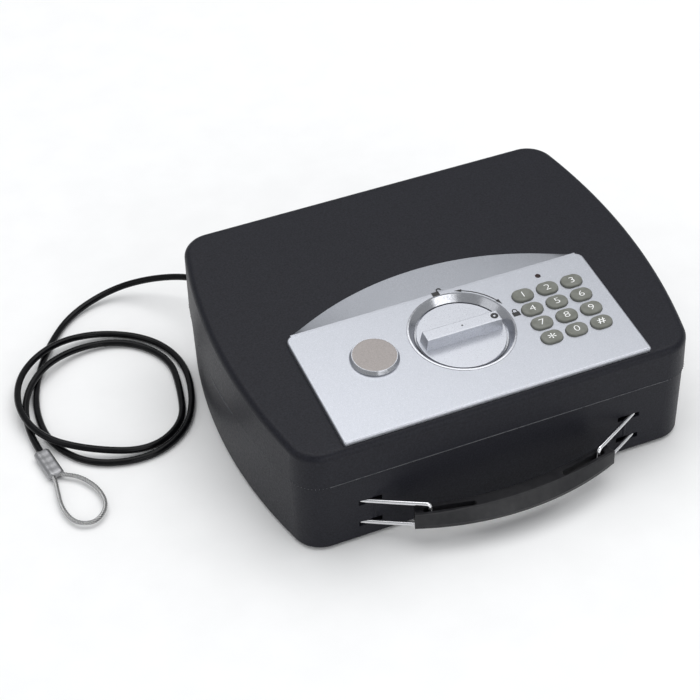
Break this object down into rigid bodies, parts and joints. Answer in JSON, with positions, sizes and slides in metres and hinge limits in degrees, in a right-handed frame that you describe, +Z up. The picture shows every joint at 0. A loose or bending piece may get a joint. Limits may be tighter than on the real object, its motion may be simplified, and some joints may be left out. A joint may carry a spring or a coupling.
{
  "type": "cash box",
  "caption": "Lockable wedge-lidded box with a raised keypad and knob panel, a fold-in handle on wire links and a tether cable ending in a wire-rope loop.",
  "frame": {"origin": "on the surface the feet stand on, under the middle of the box and its handle, the tether cable left out", "axes": "+X from left to right along the front, -Y towards the handle, +Z up"},
  "size_m": [0.421, 0.3433, 0.1028],
  "materials": {
    "black_paint": "fine-textured satin powder coat",
    "foam": "dull closed-cell foam",
    "rubber": "dull",
    "black_plastic": "satin moulded",
    "grip_plastic": "fine-grained moulded",
    "chrome_wire": "bright plated",
    "zinc_steel": "zinc plated",
    "cable_vinyl": "glossy vinyl",
    "ferrule_alloy": "swaged, scuffed",
    "rope_steel": "galvanised strands",
    "silver_panel": "satin silver paint",
    "chrome": "satin chrome",
    "knob_silver": "satin silver",
    "mark_black": "printed",
    "cap_taupe": "satin",
    "key_rubber": "soft matte",
    "board_green": "solder mask",
    "led_dark": "dark lens",
    "lock_brass": "turned",
    "battery_wrap": "printed sleeve"
  },
  "bodies": {
    "base": {"base_shell": "black_paint", "floor_mat": "foam", "foot_front_left": "rubber", "foot_front_right": "rubber", "foot_back_left": "rubber", "foot_back_right": "rubber", "link_socket_left": "black_plastic", "link_socket_right": "black_plastic", "hinge_pin": "zinc_steel", "hinge_leaf_base": "zinc_steel", "keeper": "zinc_steel", "cable_grommet": "black_plastic", "cable_stop": "ferrule_alloy", "security_cable": "cable_vinyl", "ferrule": "ferrule_alloy", "wire_loop": "rope_steel"},
    "lid": {"lid_shell": "black_paint", "control_panel": "silver_panel", "dish": "chrome", "hinge_leaf_lid": "zinc_steel", "lock_housing": "zinc_steel", "bolt_guides": "zinc_steel", "rack_guide": "zinc_steel", "clutch_solenoid": "zinc_steel", "keypad_mat": "key_rubber", "circuit_board": "board_green", "led_lens": "led_dark", "key_cylinder": "lock_brass", "inner_cover": "black_plastic", "cover_screws": "zinc_steel", "battery_tray": "black_plastic", "battery_1": "battery_wrap", "battery_2": "battery_wrap", "battery_3": "battery_wrap", "battery_4": "battery_wrap", "door_rails": "black_plastic"},
    "grip": {"handle": "grip_plastic"},
    "link_left": {"handle_link_left": "chrome_wire"},
    "link_right": {"handle_link_right": "chrome_wire"},
    "knob": {"knob": "knob_silver", "pointer_mark": "mark_black", "knob_shaft": "knob_silver"},
    "pinion": {"pinion": "zinc_steel"},
    "bolts": {"bolt_bar": "zinc_steel"},
    "door": {"battery_door": "black_plastic"},
    "cap": {"override_cap": "chrome", "cap_inlay": "cap_taupe"},
    "plug": {"key_plug": "lock_brass"},
    "button_1": {"key_1": "key_rubber"},
    "button_2": {"key_2": "key_rubber"},
    "button_3": {"key_3": "key_rubber"},
    "button_4": {"key_4": "key_rubber"},
    "button_5": {"key_5": "key_rubber"},
    "button_6": {"key_6": "key_rubber"},
    "button_7": {"key_7": "key_rubber"},
    "button_8": {"key_8": "key_rubber"},
    "button_9": {"key_9": "key_rubber"},
    "button_star": {"key_star": "key_rubber"},
    "button_0": {"key_0": "key_rubber"},
    "button_hash": {"key_hash": "key_rubber"}
  },
  "joints": [
    {"name": "lid_hinge", "type": "hinge", "parent": "base", "child": "lid", "pos_m": [0, 0.1283, 0.0548], "axis": [-1, 0, 0], "range_deg": [0, 95]},
    {"name": "handle_pull", "type": "slide", "parent": "base", "child": "grip", "axis": [0, 1, 0], "range_m": [-0.0025, 0.008]},
    {"name": "left_link_turn", "type": "hinge", "parent": "base", "child": "link_left", "pos_m": [-0.0995, -0.09165, 0.023], "axis": [0, 0, 1], "range_deg": [-4, 12]},
    {"name": "right_link_turn", "type": "hinge", "parent": "base", "child": "link_right", "pos_m": [0.0995, -0.09165, 0.023], "axis": [0, 0, 1], "range_deg": [-12, 4]},
    {"name": "knob_turn", "type": "hinge", "parent": "lid", "child": "knob", "pos_m": [0.001, -0.03223, 0.08743], "axis": [0, -0.1011, 0.9949], "range_deg": [0, 90]},
    {"name": "bolt_throw", "type": "slide", "parent": "lid", "child": "bolts", "axis": [0, -0.9949, -0.1011], "range_m": [0, 0.005]},
    {"name": "pinion_turn", "type": "hinge", "parent": "lid", "child": "pinion", "pos_m": [0.001, -0.03223, 0.08743], "axis": [0, -0.1011, 0.9949], "range_deg": [-48, 0]},
    {"name": "battery_door_slide", "type": "slide", "parent": "lid", "child": "door", "axis": [0, 1, 0], "range_m": [0, 0.045]},
    {"name": "cap_pull", "type": "slide", "parent": "lid", "child": "cap", "axis": [0, -0.1011, 0.9949], "range_m": [0, 0.012]},
    {"name": "key_plug_turn", "type": "hinge", "parent": "lid", "child": "plug", "pos_m": [-0.061, -0.03333, 0.08732], "axis": [0, -0.1011, 0.9949], "range_deg": [0, 90]},
    {"name": "press_1", "type": "slide", "parent": "lid", "child": "button_1", "axis": [0, 0.1011, -0.9949], "range_m": [0, 0.0008], "stiffness_N_per_m": 400},
    {"name": "press_2", "type": "slide", "parent": "lid", "child": "button_2", "axis": [0, 0.1011, -0.9949], "range_m": [0, 0.0008], "stiffness_N_per_m": 400},
    {"name": "press_3", "type": "slide", "parent": "lid", "child": "button_3", "axis": [0, 0.1011, -0.9949], "range_m": [0, 0.0008], "stiffness_N_per_m": 400},
    {"name": "press_4", "type": "slide", "parent": "lid", "child": "button_4", "axis": [0, 0.1011, -0.9949], "range_m": [0, 0.0008], "stiffness_N_per_m": 400},
    {"name": "press_5", "type": "slide", "parent": "lid", "child": "button_5", "axis": [0, 0.1011, -0.9949], "range_m": [0, 0.0008], "stiffness_N_per_m": 400},
    {"name": "press_6", "type": "slide", "parent": "lid", "child": "button_6", "axis": [0, 0.1011, -0.9949], "range_m": [0, 0.0008], "stiffness_N_per_m": 400},
    {"name": "press_7", "type": "slide", "parent": "lid", "child": "button_7", "axis": [0, 0.1011, -0.9949], "range_m": [0, 0.0008], "stiffness_N_per_m": 400},
    {"name": "press_8", "type": "slide", "parent": "lid", "child": "button_8", "axis": [0, 0.1011, -0.9949], "range_m": [0, 0.0008], "stiffness_N_per_m": 400},
    {"name": "press_9", "type": "slide", "parent": "lid", "child": "button_9", "axis": [0, 0.1011, -0.9949], "range_m": [0, 0.0008], "stiffness_N_per_m": 400},
    {"name": "press_star", "type": "slide", "parent": "lid", "child": "button_star", "axis": [0, 0.1011, -0.9949], "range_m": [0, 0.0008], "stiffness_N_per_m": 400},
    {"name": "press_0", "type": "slide", "parent": "lid", "child": "button_0", "axis": [0, 0.1011, -0.9949], "range_m": [0, 0.0008], "stiffness_N_per_m": 400},
    {"name": "press_hash", "type": "slide", "parent": "lid", "child": "button_hash", "axis": [0, 0.1011, -0.9949], "range_m": [0, 0.0008], "stiffness_N_per_m": 400}
  ],
  "couplings": [
    {"joint": "left_link_turn", "follows": "handle_pull", "rad_per_m": 21.9},
    {"joint": "right_link_turn", "follows": "handle_pull", "rad_per_m": -21.9},
    {"joint": "pinion_turn", "follows": "bolt_throw", "rad_per_m": -166.67}
  ]
}
